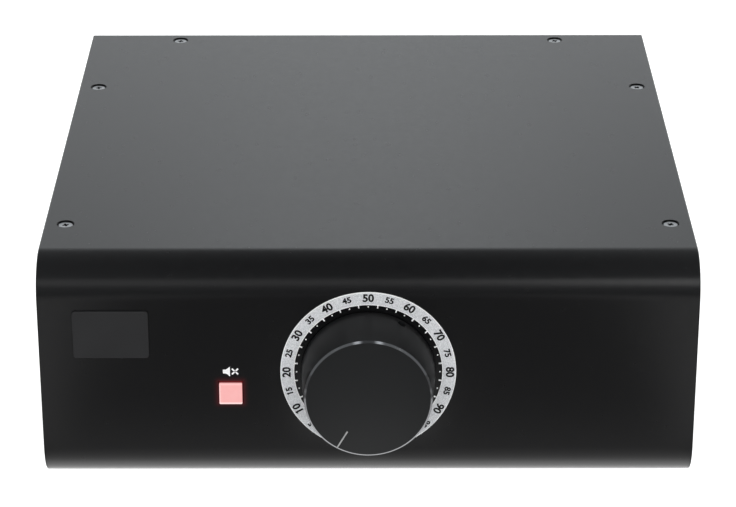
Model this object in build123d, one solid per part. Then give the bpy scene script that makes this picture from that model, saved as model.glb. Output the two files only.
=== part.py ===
"""Desktop volume controller for studio loudspeakers.

One steel sheet is bent round as top, front and bottom, and slides over two side frames and a
rear panel. Behind the front a bracket carries an eight-gang volume control and a lit mute key.
A circuit board, a toroidal transformer and the rear connectors fill the inside.

Millimetres. +X right, +Y to the back, +Z up. The origin is on the table, under the middle of the
whole outline, knob and rear connectors included.
"""

import os
from math import asin, cos, degrees, radians, sin, sqrt, tan

from build123d import *

# ---- Case -------------------------------------------------------------------------------------
case_width = 215.0
case_depth = 217.0
case_height = 80.0
wrap_thickness = 2.0
bend_radius = 13.5  # outside of the two front bends
frame_thickness = 1.5
frame_bend = 2.0  # outside radius of the folds in the inner steelwork
frame_flange = 14.0  # top and bottom flanges of the side frames
frame_rear_flange = 9.0  # their rear flanges, behind the rear panel's ends
rear_flange = 12.0  # top and bottom flanges of the rear panel
frame_side_inset = 0.5  # side frames stand this far inside the ends of the wrap
rear_inset = 0.5
frame_nose_radius = 12.5  # rounded front corners of the side frames, inside the wrap's bends

# ---- Case screws ------------------------------------------------------------------------------
screw_radius = 1.5
screw_sides = 12  # flats that stand for the round of the screws and their holes
screw_length = 7.0
csk_head_radius = 2.75
csk_head_clearance = 0.05
csk_head_sink = 0.3
csk_head_rim = 0.2  # upright edge of the head above its cone
side_screw_edge = 7.0  # side screws from the end of the wrap
side_screw_depths = (32.9, 160.2)  # from the front face
rear_screw_x = 72.9
rear_screw_edge = 6.0

# ---- Feet -------------------------------------------------------------------------------------
foot_height = 5.0
foot_radius = 8.0
foot_side_setback = 12.0
foot_front_setback = 36.0
foot_rear_setback = 26.0

# ---- Knob and scale ---------------------------------------------------------------------------
dial_height = 41.5  # shaft axis above the underside of the case
knob_base_radius = 22.0
knob_face_radius = 20.65
knob_gap = 0.8  # between knob and front
knob_height = 19.05
knob_edge = 0.6
knob_wall_left = 3.5  # material between the end of the shaft bore and the face
knob_turn = 300.0
pointer_angle = -150.0  # from straight up, clockwise, at the lowest volume
pointer_width = 0.5
pointer_length = 7.2
pointer_depth = 0.4
grub_radius = 1.5
grub_length = 6.0
grub_height = 2.4  # its axis above the underside of the knob
scale_outer_radius = 28.75
scale_inner_radius = 24.2
scale_thickness = 0.4
scale_units = 100
tick_units = 5  # the printed numbers stand this far apart
tick_length = 1.1
tick_width = 0.4

# ---- Badge plate ------------------------------------------------------------------------------
badge_width = 24.8
badge_height = 16.7
badge_corner = 1.5
badge_thickness = 0.8
badge_side_gap = 11.3  # from the end of the case
badge_z = 55.2  # above the underside of the case

# ---- Volume control ---------------------------------------------------------------------------
bracket_depth = 12.0  # front of the bracket behind the front face
bracket_width = 92.0
bracket_x = -18.0
bracket_height = 57.0
bracket_foot = 16.0  # spot-welded to the floor of the wrap
bracket_corner = 4.0
shaft_radius = 3.0
shaft_clearance = 0.05
shaft_hole_clearance = 1.5
shaft_tail = 3.6  # square part that carries the wipers
bushing_radius = 5.0
bushing_clearance = 0.1
bushing_plate = 2.0
bushing_length = 8.0  # threaded neck in front of the plate
pot_nut_flats = 14.0
pot_nut_height = 2.5
gang_count = 8  # one for each audio channel
gang_size = 27.0
gang_corner = 3.0
gang_pitch = 8.6
gang_wall = 1.2
rotor_gap = 0.3
terminal_pitch = 5.0
terminal_width = 0.8
terminal_drop = 5.0
tie_rod_radius = 1.2
tie_rod_sides = 8
pot_board_thickness = 1.6
pot_board_margin = 4.0

# ---- Mute key ---------------------------------------------------------------------------------
mute_x = -45.1
mute_height = 33.95  # above the underside of the case
mute_cap_size = 7.5
mute_cap_bevel = 0.45
mute_cap_length = 5.5
mute_cap_reach = 1.5  # stands out of the front
mute_gap = 0.35
mute_travel = 1.2
mute_stem_size = 5.0
mute_stem_clearance = 0.15
mute_stem_length = 5.0
mute_body_size = 9.6
mute_body_length = 9.0
mute_body_gap = 1.0  # left between pressed cap and switch body
mute_body_fit = 0.3
mute_well_depth = 7.2
mute_spring_radius = 1.9
mute_spring_wire = 0.3
mute_spring_turns = 2
mute_lamp_size = 2.0
mute_lamp_height = 1.5
mute_board_size = 24.0
mute_board_thickness = 1.6
mute_spacer_flats = 5.0
mute_spacer_inset = 3.5

# ---- Main board -------------------------------------------------------------------------------
standoff_height = 8.0
standoff_flats = 5.5
board_thickness = 1.6
board_side_gap = 1.0  # from the left side frame's flange
board_transformer_gap = 3.0
board_front_depth = 112.0  # behind the front face
board_rear_gap = 9.0  # in front of the rear panel
board_margin = 4.0
standoff_inset = 5.0
channel_count = gang_count
relay_size = (7.4, 15.0, 9.6)
relay_bevel = 0.6
chip_size = (6.6, 9.6, 4.0)
chip_leg = 0.6
chip_leg_width = 0.4
capacitor_radius = 8.0
capacitor_sides = 16
capacitor_height = 22.0
capacitor_count = 2
capacitor_gap = 1.6
heatsink_size = (34.0, 9.0, 22.0)
heatsink_fins = 7
heatsink_fin_thickness = 1.2
heatsink_base = 2.5
heatsink_side_gap = 6.0
regulator_size = (10.0, 4.4, 15.5)
regulator_bevel = 0.7
header_size = (27.0, 6.0, 6.5)
header_front_gap = 1.0
header_side_gap = 7.0
header_gap = 0.5  # between header and regulators
ribbon_thickness = 0.9
ribbon_width = 22.0
ribbon_bend = 3.0

# ---- Transformer ------------------------------------------------------------------------------
transformer_depth = 128.0  # behind the front face
transformer_radius = 37.0  # its side is in line with the side frame's flange
transformer_hole_radius = 13.0
winding_sides = 32  # straight runs of the taped winding
transformer_height = 32.0
transformer_pad = 1.5
transformer_pad_flats = 60.0
transformer_plate_thickness = 1.6
transformer_plate_flats = 48.0
bolt_radius = 2.5
bolt_hole_clearance = 0.2
bolt_hole_sides = 8
bolt_flats = 8.0  # of head and nut
bolt_head_height = 3.5
bolt_nut_height = 4.0

# ---- Mains inlet ------------------------------------------------------------------------------
inlet_side_gap = 33.0  # middle of the socket from the outside of the side frame
inlet_height = 45.0  # middle of the socket above the underside of the case
inlet_cavity = (24.2, 16.6, 17.0)
inlet_bevel = 4.5
inlet_wall = 2.0
inlet_lip = 2.4  # flange beyond the body on every side
inlet_flange_thickness = 3.0
inlet_flange_corner = 3.0
inlet_barb = (1.2, 6.0, 8.0)  # snap-in barbs that grip the rear panel from inside
inlet_body_depth = 26.0
inlet_fit = 0.2
inlet_pin = (2.0, 4.0)
inlet_pin_pitch = 7.0
inlet_pin_offset = 4.0
inlet_pin_recess = 5.0
inlet_pin_tail = 6.0
drawer_size = (22.0, 6.4, 23.0)
drawer_front = (25.0, 9.0, 1.6)
drawer_front_corner = 1.5
finger_slot_depth = 1.0
drawer_clearance = 0.15
drawer_gap = 2.0  # wall between socket and drawer
fuse_radius = 2.6
fuse_length = 20.0
fuse_clearance = 0.1

# ---- Mains switch -----------------------------------------------------------------------------
rocker_x = 33.0
rocker_height = 52.0  # above the underside of the case
rocker_radius = 8.1
rocker_rise = 1.5  # pivot to the crease of the two faces
rocker_tilt = 12.0
rocker_thickness = 10.0
rocker_tail = 4.0
rocker_clearance = 0.3
rocker_pivot_radius = 1.2
rocker_pivot_length = 1.0
rocker_pivot_clearance = 0.05
rocker_bezel = (23.0, 15.5, 1.8)
rocker_bezel_corner = 1.5
rocker_bezel_bevel = 0.45
rocker_body = (19.2, 12.9, 17.0)
rocker_body_fit = 0.1
rocker_blade = (0.8, 6.3, 8.0)

# ---- Multipin connectors ----------------------------------------------------------------------
multipin_side_gap = 40.0  # middle of the first connector from the outside of the side frame
multipin_pitch = 56.5
multipin_height = 20.5  # above the underside of the case
multipin_flange = (53.0, 12.5, 1.0)
multipin_screw_spacing = 47.04
multipin_shell_width = 38.4
multipin_shell_height = 7.9
multipin_shell_slope = 10.0
multipin_shell_corner = 2.6
multipin_shell_reach = 5.8
multipin_shell_wall = 0.5
multipin_insert_sink = 0.4
multipin_block = (45.0, 10.5, 13.0)
multipin_panel_fit = 0.4
jack_flats = 4.8
jack_length = 5.0
jack_bore_radius = 1.2

# ---- Slide switches ---------------------------------------------------------------------------
ground_lift_height = 46.0  # above the underside of the case, between the two connectors
voltage_selector_height = 34.0  # below the mains switch
slide_body = (19.0, 11.0, 8.5)
slide_ears = (31.0, 11.0, 1.2)
slide_ears_corner = 1.5
slide_button = (5.5, 5.0)
slide_button_bevel = 0.5
slide_travel = 5.0
slide_clearance = 0.2
ground_lift_reach = 3.0  # button beyond the rear panel
voltage_selector_reach = 0.3
slide_carrier_depth = 3.0
selector_slot = (1.0, 4.0, 1.5)  # for a screwdriver's blade

# ---- Planes worked out from the sizes above ---------------------------------------------------
knob_reach = knob_gap + knob_height
jack_reach = jack_length - rear_inset
inlet_reach = inlet_flange_thickness - rear_inset + drawer_front[2]
rocker_crease = degrees(asin(rocker_rise * cos(radians(rocker_tilt)) / rocker_radius))
rocker_tip = rocker_radius * sin(radians(rocker_crease + 2 * rocker_tilt))
rocker_reach = rocker_bezel[2] - rocker_clearance - rear_inset + rocker_tip
rear_reach = max(jack_reach, inlet_reach, rocker_reach, multipin_shell_reach - rear_inset)

front_y = -(knob_reach + case_depth + rear_reach) / 2 + knob_reach
rear_y = front_y + case_depth
panel_y = rear_y - rear_inset
panel_inner_y = panel_y - frame_thickness
inside_y = front_y + wrap_thickness
base_z = foot_height
floor_z = base_z + wrap_thickness
top_z = base_z + case_height
ceiling_z = top_z - wrap_thickness
frame_x = case_width / 2 - frame_side_inset
transformer_x = frame_x - frame_flange - transformer_radius
transformer_y = front_y + transformer_depth
inlet_x = frame_x - inlet_side_gap
multipin_x = (multipin_side_gap - frame_x, multipin_side_gap - frame_x + multipin_pitch)
dial_z = base_z + dial_height
slide_room = (slide_button[0] + slide_travel + 2 * slide_clearance,
              slide_button[1] + 2 * slide_clearance)


# ---- Drawing helpers --------------------------------------------------------------------------
def prism_x(outline, x_low, x_high):
    """Extrude an outline drawn in Y and Z."""
    return extrude(Plane.YZ.offset(x_low) * outline, amount=x_high - x_low, dir=(1, 0, 0))


def prism_y(outline, y_low, y_high):
    """Extrude an outline drawn in X and Z."""
    facing = Plane(origin=(0, y_low, 0), x_dir=(1, 0, 0), z_dir=(0, -1, 0))
    return extrude(facing * outline, amount=y_high - y_low, dir=(0, 1, 0))


def prism_z(outline, z_low, z_high):
    """Extrude an outline drawn in X and Y."""
    return extrude(Plane.XY.offset(z_low) * outline, amount=z_high - z_low, dir=(0, 0, 1))


def disc(a, b, radius):
    return Pos(a, b) * Circle(radius)


def rectangle(a, b, width, height, corner=0.0):
    if corner > 0:
        return Pos(a, b) * RectangleRounded(width, height, corner)
    return Pos(a, b) * Rectangle(width, height)


def span(a_low, a_high, b_low, b_high):
    """Rectangle given by its limits."""
    return rectangle((a_low + a_high) / 2, (b_low + b_high) / 2, a_high - a_low, b_high - b_low)


def hexagon(a, b, flats):
    return polygon(a, b, flats / 2, 6)


def polygon(a, b, radius, sides):
    """Regular polygon drawn round a circle, with a flat straight below it."""
    return Pos(a, b) * RegularPolygon(radius, sides, major_radius=False, rotation=180 / sides)


def folded(points, outside_radius):
    """Section of a folded steel strip whose middle line follows the points."""
    bend = outside_radius - frame_thickness / 2
    return trace(FilletPolyline(*points, radius=bend), line_width=frame_thickness)


def turned(profile, at, axis_dir):
    """Revolve a profile drawn as (radius, distance along an axis that lies across X)."""
    outward = Vector(1, 0, 0)
    side = Plane(origin=at, x_dir=outward, z_dir=outward.cross(Vector(*axis_dir)))
    return revolve(side * make_face(Polyline(*profile, close=True)), Axis(at, axis_dir))


def mirrored(shape):
    return mirror(shape, Plane.YZ)


def save(name, *shapes):
    solids = [solid for shape in shapes for solid in shape.solids()]
    export_step(Compound(children=solids), f"parts/{name}.step")


# ---- Screws -----------------------------------------------------------------------------------
def screw_section(radius):
    return polygon(0, 0, radius, screw_sides)


def tapered_plug(mouth, tip, high, shoulder, low):
    """Upright from high down to the shoulder, then narrowing to the tip's radius."""
    plug = prism_z(screw_section(mouth), low, high)
    bottom = plug.faces().sort_by(Axis.Z)[0]
    return chamfer(bottom.edges(), mouth - tip, shoulder - low, reference=bottom)


def countersunk_screw():
    """Head up, sunk below a sheet whose face is at z = 0; its cone fills the sheet's hole."""
    shoulder = -csk_head_sink - csk_head_rim
    head = tapered_plug(csk_head_radius, screw_radius, -csk_head_sink, shoulder, -wrap_thickness)
    return head + prism_z(screw_section(screw_radius), -screw_length, -wrap_thickness)


def countersink():
    """What the countersunk screw needs cut out of the sheet."""
    shoulder = csk_head_sink + csk_head_rim
    slope = (csk_head_radius - screw_radius) / (wrap_thickness - shoulder)
    tip = screw_radius + csk_head_clearance
    return tapered_plug(tip + slope * wrap_thickness, tip, wrap_thickness, 0, -wrap_thickness)


def wrap_screw_places():
    """Two screws into each side frame and two into the rear panel's top flange."""
    places = [(side * (case_width / 2 - side_screw_edge), front_y + depth)
              for depth in side_screw_depths for side in (-1, 1)]
    return places + [(side * rear_screw_x, rear_y - rear_screw_edge) for side in (-1, 1)]


def on_top(shape, place):
    return Pos(place[0], place[1], top_z) * shape


# ---- Outer case -------------------------------------------------------------------------------
def foot_places():
    x = case_width / 2 - foot_side_setback
    return [(side * x, y) for y in (front_y + foot_front_setback, rear_y - foot_rear_setback)
            for side in (-1, 1)]


def make_wrap_shell():
    middle = wrap_thickness / 2
    corners = [(rear_y, top_z - middle), (front_y + middle, top_z - middle),
               (front_y + middle, base_z + middle), (rear_y, base_z + middle)]
    bent = trace(FilletPolyline(*corners, radius=bend_radius - middle), line_width=wrap_thickness)
    shell = prism_x(bent, -case_width / 2, case_width / 2)
    for place in wrap_screw_places():
        shell -= on_top(countersink(), place)
    shaft_hole = disc(0, dial_z, shaft_radius + shaft_hole_clearance)
    opening = mute_cap_size + 2 * mute_gap
    mute_hole = rectangle(mute_x, base_z + mute_height, opening, opening)
    shell -= prism_y(shaft_hole + mute_hole, front_y, inside_y)
    return shell - at_transformer(bolt_bore(), base_z, floor_z)


def make_side_frame():
    """Right-hand side frame: a flat side with folded top, bottom and rear flanges."""
    outer, inner = frame_x, frame_x - frame_flange
    rear_inner = frame_x - frame_rear_flange
    middle = frame_thickness / 2
    low, high = floor_z, ceiling_z
    flange_y = inside_y + frame_nose_radius
    nose = span(inside_y, flange_y, low, high)
    nose = fillet(nose.vertices().group_by(Axis.X)[0], frame_nose_radius)
    frame = prism_x(nose, outer - frame_thickness, outer)
    channel = folded([(inner, high - middle), (outer - middle, high - middle),
                      (outer - middle, low + middle), (inner, low + middle)], frame_bend)
    rear_end = panel_inner_y
    frame += prism_y(channel, flange_y, rear_end - frame_bend)
    side_wall = span(rear_end - 3 * frame_bend, rear_end - frame_bend,
                     low + frame_bend, high - frame_bend)
    frame += prism_x(side_wall, outer - frame_thickness, outer)
    corner = folded([(outer - middle, rear_end - 2 * frame_bend),
                     (outer - middle, rear_end - middle),
                     (rear_inner, rear_end - middle)], frame_bend)
    frame += prism_z(corner, low + frame_bend, high - frame_bend)
    for x, y in wrap_screw_places():
        if x > inner:
            frame -= Pos(x, y, 0) * prism_z(screw_section(screw_radius), high - frame_thickness, high)
    return frame


def panel_openings():
    """Every hole in the rear panel, drawn in X and Z."""
    holes = inlet_outline(inlet_wall + inlet_fit)
    holes += rectangle(rocker_x, base_z + rocker_height, rocker_body[0] + 2 * rocker_body_fit,
                       rocker_body[1] + 2 * rocker_body_fit)
    for x in multipin_x:
        holes += Pos(x, base_z + multipin_height) * multipin_outline(multipin_panel_fit)
    for x, z in slide_switch_places():
        holes += rectangle(x, z, *slide_room)
    return holes


def make_rear_panel():
    """Flat panel whose middle is folded forward into a top and a bottom flange."""
    half_width = frame_x
    fold_x = frame_x - frame_flange - 2 * frame_bend
    middle = frame_thickness / 2
    flange_y = panel_y - rear_flange
    section = folded([(flange_y, ceiling_z - middle), (panel_y - middle, ceiling_z - middle),
                      (panel_y - middle, floor_z + middle), (flange_y, floor_z + middle)],
                     frame_bend)
    panel = prism_x(section, -fold_x, fold_x)
    for x_low, x_high in ((-half_width, -fold_x), (fold_x, half_width)):
        panel += prism_y(span(x_low, x_high, floor_z, ceiling_z), panel_inner_y, panel_y)
    for x, y in wrap_screw_places():
        if abs(x) < fold_x:
            hole = prism_z(screw_section(screw_radius), ceiling_z - frame_thickness, ceiling_z)
            panel -= Pos(x, y, 0) * hole
    return panel - prism_y(panel_openings(), panel_inner_y, panel_y)


def make_case():
    save("wrap_shell", make_wrap_shell())
    side = make_side_frame()
    save("side_frame_right", side)
    save("side_frame_left", mirrored(side))
    save("rear_panel", make_rear_panel())
    save("shell_screws", *[on_top(countersunk_screw(), place) for place in wrap_screw_places()])
    save("rubber_feet", *[prism_z(disc(x, y, foot_radius), 0, foot_height)
                          for x, y in foot_places()])
    badge_x = -case_width / 2 + badge_side_gap + badge_width / 2
    badge = rectangle(badge_x, base_z + badge_z, badge_width, badge_height, badge_corner)
    plate = prism_y(badge, front_y - badge_thickness, front_y)
    rim = plate.faces().sort_by(Axis.Y)[0].edges()
    save("badge_plate", chamfer(rim, badge_thickness / 4))


# ---- Scale ring and knob ----------------------------------------------------------------------
knob_face_y = front_y - knob_reach
grub_y = front_y - knob_gap - grub_height
grub_angle = pointer_angle + 180


def dial_angle(units):
    """Angle from straight up, clockwise, of a value on the scale."""
    return pointer_angle + knob_turn * units / scale_units


def around_dial(shape, angle):
    """Turn something drawn straight above the shaft clockwise, seen from the front."""
    return Rot(0, angle, 0) * shape


def make_scale_ring():
    """Flat ring with a short tooth halfway between each two numbers."""
    ring = Pos(0, dial_z) * (Circle(scale_outer_radius) - Circle(scale_inner_radius))
    steps = scale_units // tick_units
    half = tick_width / 2
    tooth = span(-half, half, scale_inner_radius - tick_length, scale_inner_radius + half)
    for step in range(steps):
        angle = dial_angle((step + 0.5) * tick_units)
        ring += Pos(0, dial_z) * Rot(0, 0, -angle) * tooth
    return prism_y(ring, front_y - scale_thickness, front_y)


def make_knob():
    """Tapered knob, bored for the shaft, with an engraved line and a side hole."""
    face = knob_height
    bore = shaft_radius + shaft_clearance / 2
    profile = [(bore, 0), (knob_base_radius, 0), (knob_face_radius, face - knob_edge),
               (knob_face_radius - knob_edge, face), (0, face),
               (0, face - knob_wall_left), (bore, face - knob_wall_left)]
    knob = turned(profile, (0, front_y - knob_gap, 0), (0, -1, 0))
    hole = prism_z(disc(0, grub_y, grub_radius), 0, knob_base_radius)
    return knob - around_dial(pointer_bar(), pointer_angle) - around_dial(hole, grub_angle)


def make_grub_screw():
    """Headless screw with a hexagonal socket, tight on the shaft."""
    ring = disc(0, grub_y, grub_radius) - hexagon(0, grub_y, grub_radius)
    return around_dial(prism_z(ring, shaft_radius, shaft_radius + grub_length), grub_angle)


def pointer_bar():
    """Straight bar from the rim inwards, drawn straight up."""
    half = pointer_width / 2
    outline = span(-half, half, knob_face_radius - pointer_length, knob_face_radius)
    return prism_y(outline, knob_face_y, knob_face_y + pointer_depth)


def make_pointer():
    """The line's filling, cut off along the chamfer of the knob's face."""
    radius = knob_face_radius
    face = turned([(0, 0), (radius - knob_edge, 0), (radius, -knob_edge), (0, -knob_edge)],
                  (0, knob_face_y, 0), (0, -1, 0))
    return around_dial(pointer_bar(), pointer_angle) & face


def make_dial():
    save("scale_ring", make_scale_ring())
    lift = Pos(0, 0, dial_z)
    save("knob", lift * make_knob())
    save("knob_grub_screw", lift * make_grub_screw())
    save("knob_pointer", lift * make_pointer())


# ---- Bracket and volume control ---------------------------------------------------------------
bracket_y = front_y + bracket_depth
bracket_back_y = bracket_y + frame_thickness
pot_y = bracket_back_y  # seat of the bushing plate
gangs_y = pot_y + bushing_plate
pot_end_y = gangs_y + gang_count * gang_pitch
pot_board_top_z = dial_z - gang_size / 2 - terminal_drop / 2
pot_shaft_front_y = front_y - knob_gap - knob_height + knob_wall_left + shaft_clearance


def make_control_bracket():
    """Folded angle: foot on the floor, upright plate behind the front."""
    middle = frame_thickness / 2
    section = folded([(bracket_y + bracket_foot, floor_z + middle),
                      (bracket_y + middle, floor_z + middle),
                      (bracket_y + middle, floor_z + bracket_height)], frame_bend)
    half = bracket_width / 2
    bracket = prism_x(section, bracket_x - half, bracket_x + half)
    holes = disc(0, dial_z, bushing_radius + bushing_clearance)
    body_hole = mute_body_size + 2 * mute_body_fit
    holes += rectangle(mute_x, base_z + mute_height, body_hole, body_hole)
    bracket -= prism_y(holes, bracket_y, bracket_back_y)
    corners = bracket.edges().filter_by(Axis.Y).group_by(Axis.Z)[-1]
    return fillet(corners, bracket_corner)


def gang_outline():
    """Square can with its four corners cut off for the tie rods."""
    square = rectangle(0, dial_z, gang_size, gang_size)
    return chamfer(square.vertices(), gang_corner)


def tie_rod_places():
    away = gang_size / 2 - gang_corner / 2 + tie_rod_radius / sqrt(2)
    return [(x * away, dial_z + z * away) for x, z in ((-1, 1), (1, -1))]


def make_pot_gang(index):
    """One cup with its track moulded in, the wiper on the shaft's square tail, three terminals."""
    start = gangs_y + index * gang_pitch
    end = start + gang_pitch
    reach = gang_size / 2 - gang_wall
    chamber = polygon(0, dial_z, reach, 8)
    hole = polygon(0, dial_z, shaft_radius + shaft_clearance, 8)
    cup = prism_y(gang_outline() - hole, start, end)
    cup -= prism_y(chamber, start + gang_wall, end)
    tail = rectangle(0, 0, shaft_tail, shaft_tail)
    arm = rectangle(0, reach / 2 - shaft_tail / 2, 2 * shaft_tail, reach)
    arm = chamfer(arm.vertices().group_by(Axis.Y)[-1], shaft_tail / 2)
    swing = Pos(0, 0, dial_z) * Rot(0, pointer_angle, 0)
    rotor = swing * prism_y(arm - tail, start + gang_wall + rotor_gap, end - rotor_gap)
    bottom = dial_z - gang_size / 2
    middle = (start + end) / 2
    pins = []
    for side in (-1, 0, 1):
        leg = rectangle(side * terminal_pitch, (bottom + pot_board_top_z) / 2, terminal_width,
                        bottom - pot_board_top_z)
        pins.append(prism_y(leg, middle - terminal_width / 4, middle + terminal_width / 4))
    return cup, rotor, pins


def make_pot_shaft():
    """Round in the bushing and the knob, square where it turns the wipers."""
    shaft = prism_y(disc(0, dial_z, shaft_radius), pot_shaft_front_y, gangs_y)
    shaft = chamfer(shaft.edges().group_by(Axis.Y)[0], shaft_radius / 6)
    tail = prism_y(rectangle(0, 0, shaft_tail, shaft_tail), gangs_y, pot_end_y - rotor_gap)
    return shaft + Pos(0, 0, dial_z) * Rot(0, pointer_angle, 0) * tail


def make_volume_control():
    save("control_bracket", make_control_bracket())
    neck_bore = disc(0, dial_z, shaft_radius + shaft_clearance)
    bushing = prism_y(gang_outline() - neck_bore, pot_y, gangs_y)
    bushing += prism_y(disc(0, dial_z, bushing_radius) - neck_bore,
                       pot_y - bushing_length, pot_y)
    save("pot_bushing", bushing)
    nut = hexagon(0, dial_z, pot_nut_flats) - disc(0, dial_z, bushing_radius)
    save("pot_nut", prism_y(nut, bracket_y - pot_nut_height, bracket_y))
    gangs = [make_pot_gang(index) for index in range(gang_count)]
    save("pot_cups", *[gang[0] for gang in gangs])
    save("pot_rotors", *[gang[1] for gang in gangs])
    save("pot_terminals", *[pin for gang in gangs for pin in gang[2]])
    save("pot_end_plate", prism_y(gang_outline(), pot_end_y, pot_end_y + bushing_plate))
    save("pot_shaft", make_pot_shaft())
    rods = [prism_y(polygon(x, z, tie_rod_radius, tie_rod_sides), pot_y, pot_end_y + bushing_plate)
            for x, z in tie_rod_places()]
    save("pot_tie_rods", *rods)
    half = gang_size / 2 + pot_board_margin
    board = span(-half, half, gangs_y, pot_end_y + pot_board_margin * 2)
    save("pot_board", prism_z(board, pot_board_top_z - pot_board_thickness, pot_board_top_z))


# ---- Mute key ---------------------------------------------------------------------------------
mute_z = base_z + mute_height
mute_front_y = front_y - mute_cap_reach
mute_cap_back_y = mute_front_y + mute_cap_length
mute_body_y = mute_cap_back_y + mute_travel + mute_body_gap
mute_board_y = mute_body_y + mute_body_length
mute_well_floor_y = mute_body_y + mute_well_depth
mute_stem_end_y = mute_cap_back_y + mute_stem_length


def mute_spacer_places():
    inset = mute_board_size / 2 - mute_spacer_inset
    return [(mute_x + side * inset, mute_z + side * inset) for side in (-1, 1)]


def make_mute_spring():
    """Coil between the stem and the floor of the switch body's well."""
    length = mute_well_floor_y - mute_stem_end_y - mute_spring_wire
    helix = Helix(pitch=length / mute_spring_turns, height=length, radius=mute_spring_radius)
    section = Plane(origin=helix @ 0, z_dir=helix % 0) * Rectangle(mute_spring_wire,
                                                                   mute_spring_wire)
    coil = sweep(section, path=helix, is_frenet=True)
    start_y = mute_stem_end_y + mute_spring_wire / 2
    return Pos(mute_x, start_y, mute_z) * Rot(-90, 0, 0) * coil


def make_mute_key():
    cap = prism_y(rectangle(mute_x, mute_z, mute_cap_size, mute_cap_size),
                  mute_front_y, mute_cap_back_y)
    rim = cap.faces().sort_by(Axis.Y)[0].edges()
    save("mute_cap", chamfer(rim, mute_cap_bevel))
    stem = rectangle(mute_x, mute_z, mute_stem_size, mute_stem_size)
    save("mute_plunger", prism_y(stem, mute_cap_back_y, mute_stem_end_y))
    body = prism_y(rectangle(mute_x, mute_z, mute_body_size, mute_body_size),
                   mute_body_y, mute_board_y)
    well_size = mute_stem_size + 2 * mute_stem_clearance
    body -= prism_y(rectangle(mute_x, mute_z, well_size, well_size), mute_body_y,
                    mute_well_floor_y)
    save("mute_switch_body", body)
    lamp = prism_y(rectangle(mute_x, mute_z, mute_lamp_size, mute_lamp_size),
                   mute_well_floor_y - mute_lamp_height, mute_well_floor_y)
    save("mute_lamp", chamfer(lamp.edges().group_by(Axis.Y)[0], mute_lamp_size / 8))
    save("mute_spring", make_mute_spring())
    board = rectangle(mute_x, mute_z, mute_board_size, mute_board_size)
    save("mute_board", prism_y(board, mute_board_y, mute_board_y + mute_board_thickness))
    save("mute_board_spacers", *[prism_y(hexagon(x, z, mute_spacer_flats), bracket_back_y,
                                         mute_board_y) for x, z in mute_spacer_places()])


# ---- Main board -------------------------------------------------------------------------------
board_z = floor_z + standoff_height
board_top_z = board_z + board_thickness
board_rear_y = panel_inner_y - board_rear_gap
board_front_y = front_y + board_front_depth
board_left = -(frame_x - frame_flange) + board_side_gap
board_right = transformer_x - transformer_radius - board_transformer_gap
channel_first_x = board_left + board_margin + relay_size[0] / 2
channel_last_x = board_right - board_margin - relay_size[0] / 2
header_y = board_front_y + header_front_gap + header_size[1] / 2


def standoff_places():
    xs = (board_left + standoff_inset, board_right - standoff_inset)
    ys = (board_front_y + standoff_inset, board_rear_y - multipin_block[2])
    return [(x, y) for x in xs for y in ys]


def make_chip():
    """Amplifier chip on z = 0; its section runs from one row of legs across to the other."""
    width, length, height = chip_size
    foot_x = width / 2 + chip_leg_width
    half = [(width / 2 - chip_leg, chip_leg), (width / 2, 0), (foot_x, 0), (foot_x, height / 2),
            (width / 2, height / 2), (width / 2, height - chip_leg), (width / 2 - chip_leg, height)]
    section = make_face(Polyline(*half, *[(-x, z) for x, z in reversed(half)], close=True))
    return prism_y(section, -length / 2, length / 2)


def make_heatsink():
    """Extruded profile: a back plate with upright fins."""
    width, depth, height = heatsink_size
    outline = span(-width / 2, width / 2, 0, heatsink_base)
    for fin in range(heatsink_fins):
        x = -width / 2 + heatsink_fin_thickness / 2
        x += fin * (width - heatsink_fin_thickness) / (heatsink_fins - 1)
        outline += span(x - heatsink_fin_thickness / 2, x + heatsink_fin_thickness / 2,
                        heatsink_base, depth)
    return prism_z(outline, 0, height)


def channel_row(shape, y):
    """One copy for each audio channel, spread evenly across the main board."""
    pitch = (channel_last_x - channel_first_x) / (channel_count - 1)
    return [Pos(channel_first_x + index * pitch, y, board_top_z) * shape
            for index in range(channel_count)]


def make_regulator():
    """Voltage regulator standing with its back against y = 0."""
    width, depth, height = regulator_size
    block = prism_z(rectangle(0, -depth / 2, width, depth), 0, height)
    return chamfer(block.faces().sort_by(Axis.Y)[0].edges(), regulator_bevel)


def make_main_board():
    outline = span(board_left, board_right, board_front_y, board_rear_y)
    save("main_board", prism_z(outline, board_z, board_top_z))
    pillar = hexagon(0, 0, standoff_flats)
    save("board_standoffs", *[prism_z(Pos(x, y) * pillar, floor_z, board_z)
                              for x, y in standoff_places()])
    relay = prism_z(Rectangle(relay_size[0], relay_size[1]), 0, relay_size[2])
    relay = chamfer(relay.edges().group_by(Axis.Z)[-1], relay_bevel)
    relay_y = board_rear_y - multipin_block[2] - relay_size[1]
    save("mute_relays", *channel_row(relay, relay_y))
    chip_y = relay_y - relay_size[1] / 2 - chip_size[1]
    save("line_amplifiers", *channel_row(make_chip(), chip_y))
    cap_x = board_left + board_margin + capacitor_radius
    cap_y = board_front_y + board_margin + capacitor_radius
    pitch = 2 * capacitor_radius + capacitor_gap
    cans = Sketch() + [polygon(cap_x + index * pitch, cap_y, capacitor_radius, capacitor_sides)
                       for index in range(capacitor_count)]
    save("filter_capacitors", prism_z(cans, board_top_z, board_top_z + capacitor_height))
    sink_x = board_right - heatsink_side_gap - heatsink_size[0] / 2
    sink_y = header_y + header_size[1] / 2 + header_gap + regulator_size[1]
    sink = Pos(sink_x, sink_y, board_top_z)
    save("heatsink", sink * make_heatsink())
    save("voltage_regulators", *[sink * Pos(side * heatsink_size[0] / 4, 0) * make_regulator()
                                 for side in (-1, 1)])


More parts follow.
